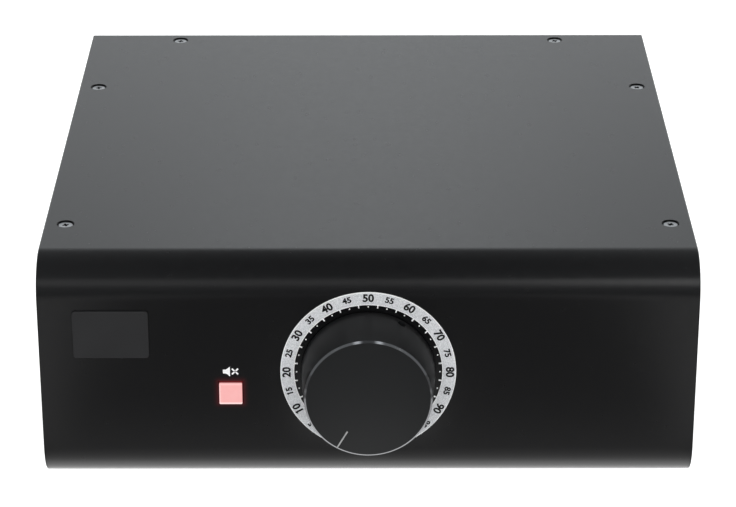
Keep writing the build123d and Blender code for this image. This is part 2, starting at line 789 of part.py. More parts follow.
def make_ribbon():
    """Header on the main board and the flat cable up to the volume control's board."""
    width, depth, height = header_size
    header_x = board_right - header_side_gap - width / 2
    header_box = rectangle(header_x, header_y, width, depth)
    save("ribbon_header", prism_z(header_box, board_top_z, board_top_z + height))
    under_z = pot_board_top_z + ribbon_thickness / 2
    start_y = pot_end_y + pot_board_margin
    points = [(start_y, under_z), (header_y, under_z), (header_y, board_top_z + height)]
    strip = trace(FilletPolyline(*points, radius=ribbon_bend), line_width=ribbon_thickness)
    save("ribbon_cable", prism_x(strip, header_x - ribbon_width / 2, header_x + ribbon_width / 2))


# ---- Transformer ------------------------------------------------------------------------------
core_low_z = floor_z + transformer_pad
core_high_z = core_low_z + transformer_height


def at_transformer(outline, z_low, z_high):
    return prism_z(Pos(transformer_x, transformer_y) * outline, z_low, z_high)


def bolt_bore():
    return polygon(0, 0, bolt_radius + bolt_hole_clearance, bolt_hole_sides)


def make_transformer():
    """Taped ring winding between two rubber pads, clamped by a plate and one long bolt."""
    ring = RegularPolygon(transformer_radius, winding_sides)
    ring -= polygon(0, 0, transformer_hole_radius, winding_sides // 2)
    save("transformer_core", at_transformer(ring, core_low_z, core_high_z))
    bore = bolt_bore()
    pad = polygon(0, 0, transformer_pad_flats / 2, 8) - bore
    plate_low = core_high_z + transformer_pad
    save("transformer_pads", at_transformer(pad, floor_z, core_low_z),
         at_transformer(pad, core_high_z, plate_low))
    plate_top = plate_low + transformer_plate_thickness
    plate = polygon(0, 0, transformer_plate_flats / 2, 8) - bore
    save("transformer_plate", at_transformer(plate, plate_low, plate_top))
    nut_top = plate_top + bolt_nut_height
    nut = hexagon(0, 0, bolt_flats) - bore
    save("transformer_nut", at_transformer(nut, plate_top, nut_top))
    head = at_transformer(hexagon(0, 0, bolt_flats), base_z - bolt_head_height, base_z)
    stem = at_transformer(Circle(bolt_radius), base_z, nut_top + bolt_radius)
    save("transformer_bolt", head + stem)


# ---- Mains inlet ------------------------------------------------------------------------------
inlet_z = base_z + inlet_height
drawer_z = inlet_z - inlet_cavity[1] / 2 - drawer_gap - drawer_front[1] / 2
inlet_face_y = panel_y + inlet_flange_thickness


def inlet_outline(wall, corner=0.0):
    """Outline that stands clear of the socket and the drawer by the given wall."""
    top = inlet_z + inlet_cavity[1] / 2 + wall
    bottom = drawer_z - drawer_size[1] / 2 - wall
    return rectangle(inlet_x, (top + bottom) / 2, inlet_cavity[0] + 2 * wall, top - bottom, corner)


def make_inlet_barb():
    """Wedge on the right-hand side of the body, its blunt end against the rear panel."""
    out, length, height = inlet_barb
    side = inlet_x + inlet_cavity[0] / 2 + inlet_wall
    wedge = make_face(Polyline((side, panel_inner_y), (side + out, panel_inner_y),
                               (side, panel_inner_y - length), close=True))
    return prism_z(wedge, inlet_z - height / 2, inlet_z + height / 2)


def cavity_outline():
    """Socket mouth with its two upper corners cut off."""
    mouth = rectangle(inlet_x, inlet_z, inlet_cavity[0], inlet_cavity[1])
    return chamfer(mouth.vertices().group_by(Axis.Y)[-1], inlet_bevel)


def make_inlet():
    flange = inlet_outline(inlet_wall + inlet_lip, inlet_flange_corner)
    body = prism_y(flange, panel_y, inlet_face_y)
    body += prism_y(inlet_outline(inlet_wall), inlet_face_y - inlet_body_depth, panel_y)
    barb = make_inlet_barb()
    body += [barb, mirror(barb, Plane.YZ.offset(inlet_x))]
    body -= prism_y(cavity_outline(), inlet_face_y - inlet_cavity[2], inlet_face_y)
    slot_width = drawer_size[0] + 2 * drawer_clearance
    slot_height = drawer_size[1] + 2 * drawer_clearance
    slot = rectangle(inlet_x, drawer_z, slot_width, slot_height)
    body -= prism_y(slot, inlet_face_y - drawer_size[2] - drawer_clearance, inlet_face_y)
    pin_front = inlet_face_y - inlet_pin_recess
    pin_back = inlet_face_y - inlet_body_depth - inlet_pin_tail
    half = inlet_pin[0] / 2
    pins = []
    for step in (-1, 0, 1):
        z = inlet_z + (inlet_pin_offset / 2 if step == 0 else -inlet_pin_offset / 2)
        x = inlet_x + step * inlet_pin_pitch
        blade = span(x - half, x + half, z - inlet_pin[1] / 2, z + inlet_pin[1] / 2)
        pins.append(prism_y(blade, pin_back, pin_front))
        body -= prism_y(blade, inlet_face_y - inlet_body_depth, inlet_face_y - inlet_cavity[2])
    tips = [chamfer(pin.edges().group_by(Axis.Y)[-1], half / 2) for pin in pins]
    save("mains_inlet", body)
    save("inlet_pins", *tips)


def make_fuse_drawer():
    width, height, depth = drawer_size
    tray = prism_y(rectangle(inlet_x, drawer_z, width, height), inlet_face_y - depth,
                   inlet_face_y)
    lid = rectangle(inlet_x, drawer_z, drawer_front[0], drawer_front[1], drawer_front_corner)
    front = inlet_face_y + drawer_front[2]
    tray += prism_y(lid, inlet_face_y, front)
    finger_slot = rectangle(inlet_x, drawer_z + drawer_front[1] / 2, width / 2, drawer_gap)
    tray -= prism_y(finger_slot, front - finger_slot_depth, front)
    trough_radius = fuse_radius + fuse_clearance
    fuse_back = inlet_face_y - fuse_clearance
    trough = span(inlet_x - trough_radius, inlet_x + trough_radius, drawer_z, drawer_z + height)
    trough += disc(inlet_x, drawer_z, trough_radius)
    tray -= prism_y(trough, fuse_back - fuse_length - fuse_clearance, fuse_back + fuse_clearance)
    save("fuse_drawer", tray)
    fuse = disc(inlet_x, drawer_z, fuse_radius)
    save("mains_fuse", prism_y(fuse, fuse_back - fuse_length, fuse_back))


# ---- Mains switch -----------------------------------------------------------------------------
rocker_z = base_z + rocker_height
rocker_pivot_y = panel_y + rocker_bezel[2] - rocker_clearance


def make_rocker():
    """Rocker drawn level in X and Y round its pivot, then tipped to its rest on one side."""
    rise = tan(radians(rocker_tilt)) * rocker_radius
    faces = make_face(Polyline((-rocker_radius, rocker_rise + rise), (0, rocker_rise),
                               (rocker_radius, rocker_rise + rise), (rocker_radius, -rocker_tail),
                               (-rocker_radius, -rocker_tail), close=True))
    outline = Circle(rocker_radius) & faces
    half = rocker_thickness / 2
    rocker = prism_z(outline, -half, half)
    pivot = prism_z(Circle(rocker_pivot_radius), -half - rocker_pivot_length,
                    half + rocker_pivot_length)
    tip = Pos(rocker_x, rocker_pivot_y, rocker_z) * Rot(0, 0, rocker_tilt)
    return tip * (rocker + pivot)


def make_power_switch():
    save("power_rocker", make_rocker())
    bezel = rectangle(rocker_x, rocker_z, rocker_bezel[0], rocker_bezel[1], rocker_bezel_corner)
    body = prism_y(bezel, panel_y, panel_y + rocker_bezel[2])
    body = chamfer(body.faces().sort_by(Axis.Y)[-1].edges(), rocker_bezel_bevel)
    housing = rectangle(rocker_x, rocker_z, rocker_body[0], rocker_body[1])
    body += prism_y(housing, panel_y - rocker_body[2], panel_y)
    half = rocker_thickness / 2 + rocker_clearance
    floor_depth = rocker_tail * cos(radians(rocker_tilt))
    floor_depth += rocker_radius * sin(radians(rocker_tilt)) + rocker_clearance
    room = prism_z(Circle(rocker_radius + rocker_clearance), -half, half)
    room &= Pos(0, (2 * rocker_radius - floor_depth) / 2) * Box(
        4 * rocker_radius, 2 * rocker_radius + floor_depth, 2 * half)
    axle = rocker_thickness / 2 + rocker_pivot_length + rocker_pivot_clearance
    room += prism_z(Circle(rocker_pivot_radius + rocker_pivot_clearance), -axle, axle)
    body -= Pos(rocker_x, rocker_pivot_y, rocker_z) * room
    back = panel_y - rocker_body[2]
    width, height, length = rocker_blade
    for side in (-1, 1):
        blade = rectangle(rocker_x + side * rocker_body[0] / 4, rocker_z, width, height)
        body += prism_y(blade, back - length, back)
    save("power_switch_body", body)


# ---- Multipin connectors ----------------------------------------------------------------------
def multipin_outline(grow=0.0):
    """D-shaped outline round the origin, wider at the top."""
    height = multipin_shell_height / 2
    lean = tan(radians(multipin_shell_slope)) * height
    half = multipin_shell_width / 2
    corners = Polyline((-half, height), (half, height), (half - 2 * lean, -height),
                       (-half + 2 * lean, -height), close=True)
    shape = make_face(corners)
    shape = fillet(shape.vertices(), multipin_shell_corner)
    return offset(shape, amount=grow) if grow else shape


def make_multipin(x):
    """Steel shell with its flange, and the moulding that fills it."""
    z = base_z + multipin_height
    place = Pos(x, z)
    flange_low = panel_inner_y - multipin_flange[2]
    tip_y = panel_y + multipin_shell_reach - rear_inset
    flange = rectangle(x, z, multipin_flange[0], multipin_flange[1])
    core = place * multipin_outline(-multipin_shell_wall)
    shell = prism_y(flange, flange_low, panel_inner_y)
    shell += prism_y(place * multipin_outline(), flange_low, tip_y)
    shell -= prism_y(core, flange_low, tip_y)
    moulding = prism_y(core, flange_low, tip_y - multipin_insert_sink)
    block_top = z + multipin_block[1] / 2
    half = multipin_block[0] / 2
    block = span(x - half, x + half, board_top_z, block_top)
    moulding += prism_y(block, flange_low - multipin_block[2], flange_low)
    return shell, moulding


def make_jack_screw(x):
    """Hexagonal post that takes a plug's locking screw."""
    z = base_z + multipin_height
    return prism_y(hexagon(x, z, jack_flats) - disc(x, z, jack_bore_radius), panel_y,
                   panel_y + jack_length)


def make_connectors():
    pairs = [make_multipin(x) for x in multipin_x]
    save("multipin_shells", *[pair[0] for pair in pairs])
    save("multipin_inserts", *[pair[1] for pair in pairs])
    save("jack_screws", *[make_jack_screw(x + side * multipin_screw_spacing / 2)
                          for x in multipin_x for side in (-1, 1)])


# ---- Slide switches ---------------------------------------------------------------------------
def slide_switch_places():
    return [(sum(multipin_x) / 2, base_z + ground_lift_height),
            (rocker_x, base_z + voltage_selector_height)]


def make_slide_switch(x, z, reach):
    """Housing with two ears behind the panel, and its sliding button at one end."""
    ears = rectangle(x, z, slide_ears[0], slide_ears[1], slide_ears_corner)
    ear_low = panel_inner_y - slide_ears[2]
    body = prism_y(ears, ear_low, panel_inner_y)
    body += prism_y(rectangle(x, z, slide_body[0], slide_body[1]), ear_low - slide_body[2],
                    ear_low)
    room_low = ear_low - slide_carrier_depth - slide_clearance
    body -= prism_y(rectangle(x, z, *slide_room), room_low, panel_inner_y)
    button = prism_y(rectangle(x - slide_travel / 2, z, *slide_button),
                     ear_low - slide_carrier_depth, panel_y + reach)
    return body, button


def make_slide_switches():
    lift_place, selector_place = slide_switch_places()
    body, button = make_slide_switch(*lift_place, ground_lift_reach)
    save("ground_lift_body", body)
    save("ground_lift_slider", chamfer(button.edges().group_by(Axis.Y)[-1], slide_button_bevel))
    body, button = make_slide_switch(*selector_place, voltage_selector_reach)
    width, height, depth = selector_slot
    face_y = panel_y + voltage_selector_reach
    slot = rectangle(selector_place[0] - slide_travel / 2, selector_place[1], width, height)
    save("voltage_selector_body", body)
    save("voltage_selector_slider", button - prism_y(slot, face_y - depth, face_y))


os.makedirs("parts", exist_ok=True)
make_case()
make_dial()
make_volume_control()
make_mute_key()
make_main_board()
make_ribbon()
make_transformer()
make_inlet()
make_fuse_drawer()
make_power_switch()
make_connectors()
make_slide_switches()
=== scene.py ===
from math import cos, hypot, pi, radians, sin, tan

import bmesh
import bpy
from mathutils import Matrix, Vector


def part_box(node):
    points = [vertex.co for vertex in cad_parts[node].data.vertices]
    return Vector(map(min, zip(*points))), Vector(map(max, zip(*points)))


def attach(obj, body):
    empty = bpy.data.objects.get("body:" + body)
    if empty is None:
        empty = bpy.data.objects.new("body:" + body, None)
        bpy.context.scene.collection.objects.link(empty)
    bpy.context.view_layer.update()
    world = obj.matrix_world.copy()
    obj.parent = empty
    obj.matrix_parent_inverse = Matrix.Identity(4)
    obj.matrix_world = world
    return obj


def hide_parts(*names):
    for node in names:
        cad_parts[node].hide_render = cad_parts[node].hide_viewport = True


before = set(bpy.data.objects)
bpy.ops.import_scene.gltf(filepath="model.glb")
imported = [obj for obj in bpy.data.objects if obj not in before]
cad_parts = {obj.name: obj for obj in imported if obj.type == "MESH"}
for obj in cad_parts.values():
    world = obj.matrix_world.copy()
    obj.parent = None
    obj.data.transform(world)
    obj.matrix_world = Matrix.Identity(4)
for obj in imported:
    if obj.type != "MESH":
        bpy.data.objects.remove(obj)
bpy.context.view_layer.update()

# ---- Inner steelwork ----
# Two folded side frames and the rear panel, powder coated fine black like the outer case, and a
# zinc-plated bracket behind the front. The case is screwed to the frames and the panel's flange.
mm = 0.001


def tone(red, green=None, blue=None):
    """Linear colour of a paint chip given in 0-255 steps; one number is a grey."""
    steps = (red, red, red) if green is None else (red, green, blue)
    shares = [step / 255 for step in steps]
    return [s / 12.92 if s < 0.04045 else ((s + 0.055) / 1.055) ** 2.4 for s in shares] + [1.0]


class Value:
    """A number that comes out of a material's nodes; arithmetic on it adds Math nodes."""

    def __init__(self, finish, socket):
        self.finish = finish
        self.socket = socket

    def math(self, operation, *values):
        return self.finish.node("Math", {"operation": operation}, dict(enumerate(values)))

    def __add__(self, other):
        return self.math("ADD", self, other)

    def __sub__(self, other):
        return self.math("SUBTRACT", self, other)

    def __rsub__(self, other):
        return self.math("SUBTRACT", other, self)

    def __mul__(self, other):
        return self.math("MULTIPLY", self, other)

    def __gt__(self, other):
        return self.math("GREATER_THAN", self, other)

    def __lt__(self, other):
        return self.math("LESS_THAN", self, other)

    def __abs__(self):
        return self.math("ABSOLUTE", self)

    __radd__ = __add__
    __rmul__ = __mul__


class Finish:
    """A material: fixed values on its shader, and the nodes that vary it over the surface."""

    def __init__(self, name, colour, roughness, metallic=0.0, specular=0.5):
        self.material = bpy.data.materials.new(name)
        self.material.use_nodes = True
        self.tree = self.material.node_tree
        self.shader = self.tree.nodes["Principled BSDF"]
        self.set("Base Color", colour)
        self.set("Roughness", roughness)
        self.set("Metallic", metallic)
        self.set("Specular IOR Level", specular)
        self.place = self.node("TexCoord", output="Object")

    def feed(self, socket, value):
        if isinstance(value, Value):
            self.tree.links.new(value.socket, socket)
        else:
            socket.default_value = value

    def set(self, name, value):
        self.feed(self.shader.inputs[name], value)

    def node(self, kind, settings=(), inputs=(), output=0):
        """Any other node: its settings first, then the values or links of its sockets."""
        made = self.tree.nodes.new("ShaderNode" + kind)
        for name, value in dict(settings).items():
            setattr(made, name, value)
        for name, value in dict(inputs).items():
            self.feed(made.inputs[name], value)
        return Value(self, made.outputs[output])

    def axes(self):
        """X, Y and Z of a point on the piece."""
        parts = self.node("SeparateXYZ", (), {0: self.place})
        outputs = parts.socket.node.outputs
        return [Value(self, outputs[index]) for index in range(3)]

    def noise(self, scale, detail=2.0, stretch=None):
        place = self.place
        if stretch:
            place = self.node("Mapping", (), {"Vector": place, "Scale": stretch})
        return self.node("TexNoise", (), {"Vector": place, "Scale": scale, "Detail": detail})

    def blend(self, share, low, high):
        """Colour between two, by a share from 0 to 1."""
        return self.node("Mix", {"data_type": "RGBA"}, {0: share, 6: low, 7: high}, output=2)

    def ramp(self, value, low, high):
        """0 below one limit, 1 above the other, and smooth between them."""
        return self.node("MapRange", {"interpolation_type": "SMOOTHSTEP"},
                         {"Value": value, "From Min": low, "From Max": high})

    def relief(self, height, distance):
        """Raise the surface by a distance where the height is 1."""
        self.set("Normal", self.node("Bump", (), {"Height": height, "Distance": distance}))


def powder_coat(name, black):
    """Fine-textured black powder coat: small rounded grains, each a little glossier or duller."""
    coat = Finish(name, black, 0.38)
    grain = coat.noise(2400, 3.0)
    waves = coat.noise(420)
    coat.set("Base Color", coat.blend(grain, [0.75 * c for c in black[:3]] + [1.0],
                                      [1.25 * c for c in black[:3]] + [1.0]))
    coat.set("Roughness", 0.2 + 0.1 * waves)
    coat.relief(0.7 * grain + 0.3 * waves, 0.006 * mm)
    return coat


def dress(finish, *nodes):
    """Give solids from the frame their finish."""
    for node in nodes:
        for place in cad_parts[node].material_slots:
            place.material = finish.material


frame_coat = powder_coat("frame_black", tone(14, 14, 15))
dress(frame_coat, "side_frame_left", "side_frame_right", "rear_panel")


def metal(name, colour, roughness, grain=900, depth=0.002 * mm, stretch=None):
    """Bare or plated metal with a fine uneven grain."""
    made = Finish(name, colour, roughness, metallic=1.0)
    spots = made.noise(grain, 3.0, stretch)
    clouds = made.noise(60)
    made.set("Base Color", made.blend(clouds, [0.86 * c for c in colour[:3]] + [1.0], colour))
    made.set("Roughness", roughness - 0.06 + 0.12 * spots)
    made.relief(spots, depth)
    return made


zinc = metal("zinc_steel", tone(176, 180, 184), 0.34)
dress(zinc, "control_bracket", "board_standoffs", "mute_board_spacers", "transformer_plate",
      "transformer_nut")

# ---- Outer case ----
# One 2 mm steel sheet bent round as top, front and bottom, its edges broken by 0.5 mm, punched
# for the shaft and the mute key and countersunk for six screws. Powder coated fine black, with
# painted shade in the countersinks, whose walls get a darker, duller coat. The red light that the
# lit key throws on the front round it is painted into the coat as emission.
case_low, case_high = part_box("wrap_shell")
case_half_width = case_high.x
case_front_y = case_low.y
case_rear_y = case_high.y
case_base_z = case_low.z
case_top_z = case_high.z
sheet = 2.0 * mm
bend_radius = 13.5 * mm
bend_steps = 14
edge_break = 0.5 * mm
shaft_hole_radius = 4.5 * mm
mute_hole_corner = 0.4 * mm
hair = 0.001 * mm
dial_low, dial_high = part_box("scale_ring")
dial_z = (dial_low.z + dial_high.z) / 2
mute_low, mute_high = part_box("mute_cap")
mute_x = (mute_low.x + mute_high.x) / 2
mute_z = (mute_low.z + mute_high.z) / 2
mute_size = mute_high.x - mute_low.x
mute_gap = 0.35 * mm


def start(kind, name, scale=(1, 1, 1), **settings):
    """Add a primitive alone in the selection, with its place and size in its mesh."""
    bpy.ops.object.select_all(action="DESELECT")
    getattr(bpy.ops.mesh, f"primitive_{kind}_add")(**settings)
    piece = bpy.context.object
    piece.name = piece.data.name = name
    piece.scale = scale
    bpy.ops.object.transform_apply(location=True, rotation=True, scale=True)
    return piece


def use(piece):
    """Make one piece the selected and active one."""
    bpy.ops.object.select_all(action="DESELECT")
    piece.select_set(True)
    bpy.context.view_layer.objects.active = piece


def edit(piece):
    use(piece)
    bpy.ops.object.mode_set(mode="EDIT")
    bpy.ops.mesh.select_all(action="SELECT")


def done():
    bpy.ops.object.mode_set(mode="OBJECT")


def pick(kind, test):
    """In edit mode, select only the faces, edges or corners that pass a test."""
    bpy.ops.mesh.select_mode(type=kind)
    bpy.ops.mesh.select_all(action="DESELECT")
    mesh = bmesh.from_edit_mesh(bpy.context.object.data)
    for part in {"FACE": mesh.faces, "EDGE": mesh.edges, "VERT": mesh.verts}[kind]:
        if test(part):
            part.select_set(True)
    bmesh.update_edit_mesh(bpy.context.object.data)


def ends(edge):
    """The two end points of an edge."""
    return [corner.co for corner in edge.verts]


def push(x=0.0, y=0.0, z=0.0):
    bpy.ops.mesh.extrude_region_move(TRANSFORM_OT_translate={"value": (x, y, z)})


def soften(width, segments):
    bpy.ops.mesh.bevel(offset=width, segments=segments, affect="EDGES")


def modify(piece, kind, **settings):
    """Put a modifier on a piece and apply it."""
    use(piece)
    modifier = piece.modifiers.new(kind.title(), kind)
    for name, value in settings.items():
        setattr(modifier, name, value)
    bpy.ops.object.modifier_apply(modifier=modifier.name)


def cut(piece, *cutters):
    """Cut other shapes out of a piece and throw them away."""
    for cutter in cutters:
        modify(piece, "BOOLEAN", operation="DIFFERENCE", object=cutter, solver="EXACT")
        bpy.data.objects.remove(cutter)


def smooth(piece, angle=35.0):
    """Smooth shading that stops at edges and lets large flat faces stay flat."""
    use(piece)
    bpy.ops.object.shade_smooth_by_angle(angle=radians(angle))
    modify(piece, "WEIGHTED_NORMAL", keep_sharp=True)


def fit(piece, finish, body, slot, *replaced):
    """Finish a piece, set it on the body it moves with, and hide the parts it stands for."""
    piece.data.materials.clear()
    piece.data.materials.append(finish.material)
    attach(piece, body)
    if replaced:
        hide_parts(*replaced)


case = start("plane", "outer_case", size=1.0, rotation=(pi / 2, 0, 0),
             location=(0, case_rear_y, case_top_z - sheet / 2),
             scale=(2 * case_half_width, sheet, 1))
edit(case)
bend_y = case_front_y + bend_radius
push(y=bend_y - case_rear_y)
bpy.ops.mesh.spin(steps=bend_steps, angle=pi / 2, axis=(-1, 0, 0),
                  center=(0, bend_y, case_top_z - bend_radius))
push(z=case_base_z - case_top_z + 2 * bend_radius)
bpy.ops.mesh.spin(steps=bend_steps, angle=pi / 2, axis=(-1, 0, 0),
                  center=(0, bend_y, case_base_z + bend_radius))
push(y=case_rear_y - bend_y)
bpy.ops.mesh.select_all(action="SELECT")
bpy.ops.mesh.remove_doubles(threshold=hair)
bpy.ops.mesh.normals_make_consistent(inside=False)
bpy.ops.mesh.dissolve_limited(angle_limit=radians(1))
bpy.ops.mesh.select_mode(type="EDGE")
bpy.ops.mesh.select_all(action="DESELECT")
bpy.ops.mesh.edges_select_sharp(sharpness=radians(60))
soften(edge_break, 3)
done()

screw_head_radius = 2.35 * mm
screw_sink = 0.45 * mm
countersink_mouth = 2.95 * mm
countersink_floor = 1.62 * mm
screw_places = [(x * mm, y * mm, case_top_z) for x, y in (
    (-100.5, -68.465), (100.5, -68.465), (-100.5, 58.835), (100.5, 58.835),
    (-72.9, 109.635), (72.9, 109.635))]
shaft_hole = start("cylinder", "cutter", vertices=64, radius=shaft_hole_radius, depth=6 * sheet,
                   rotation=(pi / 2, 0, 0), location=(0, case_front_y, dial_z))
mute_hole = start("cube", "cutter", size=mute_size + 2 * mute_gap,
                  location=(mute_x, case_front_y, mute_z))
edit(mute_hole)
pick("EDGE", lambda edge: abs(ends(edge)[0].y - ends(edge)[1].y) > mm)
soften(mute_hole_corner, 3)
done()
cut(case, shaft_hole, mute_hole)
for place in screw_places:
    cut(case, start("cone", "cutter", vertices=64, radius1=countersink_floor,
                    radius2=countersink_mouth, depth=sheet + 4 * hair,
                    location=(place[0], place[1], case_top_z - sheet / 2)))
smooth(case)

case_coat = powder_coat("case_black", tone(11, 11, 12))
x, y, z = case_coat.axes()
# Painted light: the coat emits dark red round the mute key, fading within a few mm, in place of the
# light the key throws on the front.
beside = x.math("MAXIMUM", abs(x - mute_x) - mute_size / 2, 0.0)
above = z.math("MAXIMUM", abs(z - mute_z) - mute_size / 2, 0.0)
from_key = x.math("SQRT", beside * beside + above * above)
painted_glow_reach = 3.3 * mm
painted_key_glow = 1.0 - case_coat.ramp(from_key, -1.6 * mm, painted_glow_reach)
painted_key_glow = painted_key_glow * painted_key_glow * (y < case_front_y + sheet)
case_coat.set("Emission Color", case_coat.blend(painted_key_glow, tone(0), tone(90, 12, 22)))
case_coat.set("Emission Strength", 1.0)
fit(case, case_coat, "housing", "case_black", "wrap_shell")
# Painted shade: the countersink walls get an almost black, duller coat for the shade inside them.
countersink_shade_coat = powder_coat("countersink_painted_shade", tone(4))
countersink_shade_coat.set("Specular IOR Level", 0.15)
case.data.materials.append(countersink_shade_coat.material)
for face in case.data.polygons:
    for place in screw_places:
        from_axis = hypot(face.center.x - place[0], face.center.y - place[1])
        if from_axis < countersink_mouth and face.normal.z < 0.9:
            face.material_index = 1

# ---- Case screws ----
# Six small countersunk screws of nickel-plated steel, sunk a little below the top, their cross
# recesses painted almost black inside as shade. They are turned in by hand, so that no two
# crosses point the same way.
recess_depth = 1.1 * mm
recess_reach = 1.5 * mm
recess_arm = 0.55 * mm
recess_draft = 0.45  # its floor against its mouth
head_rim = 0.2 * mm
case_screw_head = 1.7 * mm
case_screw_radius = 1.5 * mm
case_screw_stem = 5.0 * mm


def make_screw(name, head_top, head_height, head_radius, stem_radius, stem_length, countersunk):
    """A cross-recess screw with its head up, standing on the origin's vertical."""
    stem_top = head_top - head_height
    screw = start("cylinder", name, vertices=48, radius=stem_radius, depth=stem_length,
                  location=(0, 0, stem_top - stem_length / 2))
    edit(screw)
    pick("FACE", lambda face: face.normal.z > 0.9)
    if countersunk:
        push(z=head_height - head_rim)
        share = head_radius / stem_radius
        bpy.ops.transform.resize(value=(share, share, 1))
        push(z=head_rim)
    else:
        bpy.ops.mesh.inset(thickness=0.01 * mm)
        share = head_radius / stem_radius
        bpy.ops.transform.resize(value=(share, share, 1))
        push(z=head_height)
    pick("EDGE", lambda edge: min(p.z for p in ends(edge)) > head_top - hair)
    soften(0.09 * mm if countersunk else 0.6 * mm, 2 if countersunk else 5)
    pick("EDGE", lambda edge: max(p.z for p in ends(edge)) < stem_top - stem_length + hair)
    soften(0.4 * mm, 1)
    done()
    for turn in (0.0, pi / 2):
        arm = start("cube", "cutter", size=1.0, location=(0, 0, head_top), rotation=(0, 0, turn),
                    scale=(2 * recess_reach, 2 * recess_arm, 2 * recess_depth))
        edit(arm)
        pick("FACE", lambda face: face.normal.z < -0.9)
        bpy.ops.transform.resize(value=(recess_draft, recess_draft, 1))
        done()
        cut(screw, arm)
    smooth(screw, 30)
    return screw


def copy_of(piece, name):
    """A copy with its own mesh."""
    copy = piece.copy()
    copy.data = piece.data.copy()
    copy.name = copy.data.name = name
    bpy.context.scene.collection.objects.link(copy)
    return copy


def settle(piece, location, rotation=(0, 0, 0)):
    """Put a piece in its place and leave the place in its mesh."""
    piece.location = location
    piece.rotation_euler = rotation
    use(piece)
    bpy.ops.object.transform_apply(location=True, rotation=True, scale=True)
    return piece


nickel = metal("screw_nickel", tone(176, 178, 180), 0.3)
# An almost black finish, painted shade for the cross recesses.
recess_painted_shade = metal("recess_painted_shade", tone(12), 0.7)
margin = 0.05 * mm
screw = make_screw("case_screw", -screw_sink, case_screw_head, screw_head_radius,
                   case_screw_radius, case_screw_stem, True)
for index, place in enumerate(screw_places):
    copy = copy_of(screw, f"case_screw_{index + 1}")
    settle(copy, place, (0, 0, radians(23 + 37 * index)))
    fit(copy, nickel, "housing", "black_screw", "shell_screws")
    # Painted shade: faces inside the cross recess get an almost black finish.
    copy.data.materials.append(recess_painted_shade.material)
    for face in copy.data.polygons:
        below_head = place[2] - screw_sink - face.center.z
        from_axis = hypot(face.center.x - place[0], face.center.y - place[1])
        if margin < below_head < recess_depth + margin and from_axis < recess_reach:
            face.material_index = 1
bpy.data.objects.remove(screw)

# ---- Feet ----
# Four black rubber discs with a slight draft and a rounded lower edge, self-adhesive, stuck under
# the corners.
foot_height = 5.0 * mm
foot_radius = 8.0 * mm
foot_draft = 0.9  # its sole against its top
foot_edge = 0.6 * mm
foot_places = [(x * mm, y * mm, foot_height / 2) for x in (-95.5, 95.5) for y in (-65.365, 89.635)]


def moulded(name, colour, roughness, grain=1800, depth=0.004 * mm, specular=0.5):
    """Moulded plastic or rubber with a fine matt grain."""
    made = Finish(name, colour, roughness, specular=specular)
    spots = made.noise(grain)
    clouds = made.noise(90)
    made.set("Base Color", made.blend(clouds, [0.85 * c for c in colour[:3]] + [1.0],
                                      [1.15 * c for c in colour[:3]] + [1.0]))
    made.set("Roughness", roughness - 0.05 + 0.1 * spots)
    made.relief(spots, depth)
    return made


foot_rubber = moulded("foot_rubber", tone(30), 0.8, grain=1200, depth=0.01 * mm)
for index, place in enumerate(foot_places):
    foot = start("cylinder", f"foot_{index + 1}", vertices=64, radius=foot_radius,
                 depth=foot_height, location=place)
    edit(foot)
    pick("FACE", lambda face: face.normal.z < -0.9)
    bpy.ops.transform.resize(value=(foot_draft, foot_draft, 1))
    pick("EDGE", lambda edge: max(p.z for p in ends(edge)) < hair)
    soften(foot_edge, 4)
    done()
    smooth(foot, 50)
    fit(foot, foot_rubber, "housing", "foot_rubber", "rubber_feet")

# ---- Badge plate ----
# A small raised plate of dark grey satin plastic, left bare, glued to the front at the upper left.
badge_low, badge_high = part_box("badge_plate")
badge_size = badge_high - badge_low
badge_corner = 1.2 * mm
badge_edge = 0.25 * mm
badge = start("cube", "bare_badge", size=1.0, location=(badge_low + badge_high) / 2,
              scale=badge_size)
edit(badge)
pick("EDGE", lambda edge: abs(ends(edge)[0].y - ends(edge)[1].y) > badge_size.y / 2)
soften(badge_corner, 8)
pick("EDGE", lambda edge: max(p.y for p in ends(edge)) < badge_low.y + 0.01 * mm)
soften(badge_edge, 3)
done()
smooth(badge, 50)
badge_grey = moulded("badge_grey", tone(37, 37, 38), 0.5, specular=0.3)
fit(badge, badge_grey, "housing", "badge_grey", "badge_plate")

# ---- Scale ring ----
# A flat ring of silver anodised aluminium round the knob, with a short tooth halfway between each
# two numbers. The numbers are printed in black, with a white dot on the front under each.
ring_outer = dial_high.x
ring_inner = 24.2 * mm
ring_thickness = case_front_y - dial_low.y
tooth_length = 0.95 * mm
tooth_width = 0.36 * mm
ring_edge = 0.1 * mm
scale_start = -150.0
scale_turn = 300.0
scale_end = 100
scale_step = 5
scale_gaps = scale_end // scale_step
ring = start("circle", "dial_ring", vertices=180, radius=ring_outer, fill_type="NGON",
             rotation=(pi / 2, 0, 0), location=(0, case_front_y, dial_z))
edit(ring)
bpy.ops.mesh.inset(thickness=ring_outer - ring_inner)
bpy.ops.mesh.delete(type="FACE")
bpy.ops.mesh.select_all(action="SELECT")
push(y=-ring_thickness)
pick("EDGE", lambda edge: max(p.y for p in ends(edge)) < dial_low.y + hair
     and len({round(hypot(p.x, p.z - dial_z), 5) for p in ends(edge)}) == 1)
soften(ring_edge, 2)
bpy.ops.mesh.select_all(action="SELECT")
bpy.ops.mesh.normals_make_consistent(inside=False)
done()


def at_dial(radius, angle, y):
    """A point round the shaft, its angle clockwise from straight up."""
    turn = radians(angle)
    return Vector((radius * sin(turn), y, dial_z + radius * cos(turn)))


def join(name, parts):
    """Make one piece of several."""
    bpy.ops.object.select_all(action="DESELECT")
    for part in parts:
        part.select_set(True)
    bpy.context.view_layer.objects.active = parts[0]
    bpy.ops.object.join()
    parts[0].name = parts[0].data.name = name
    return parts[0]


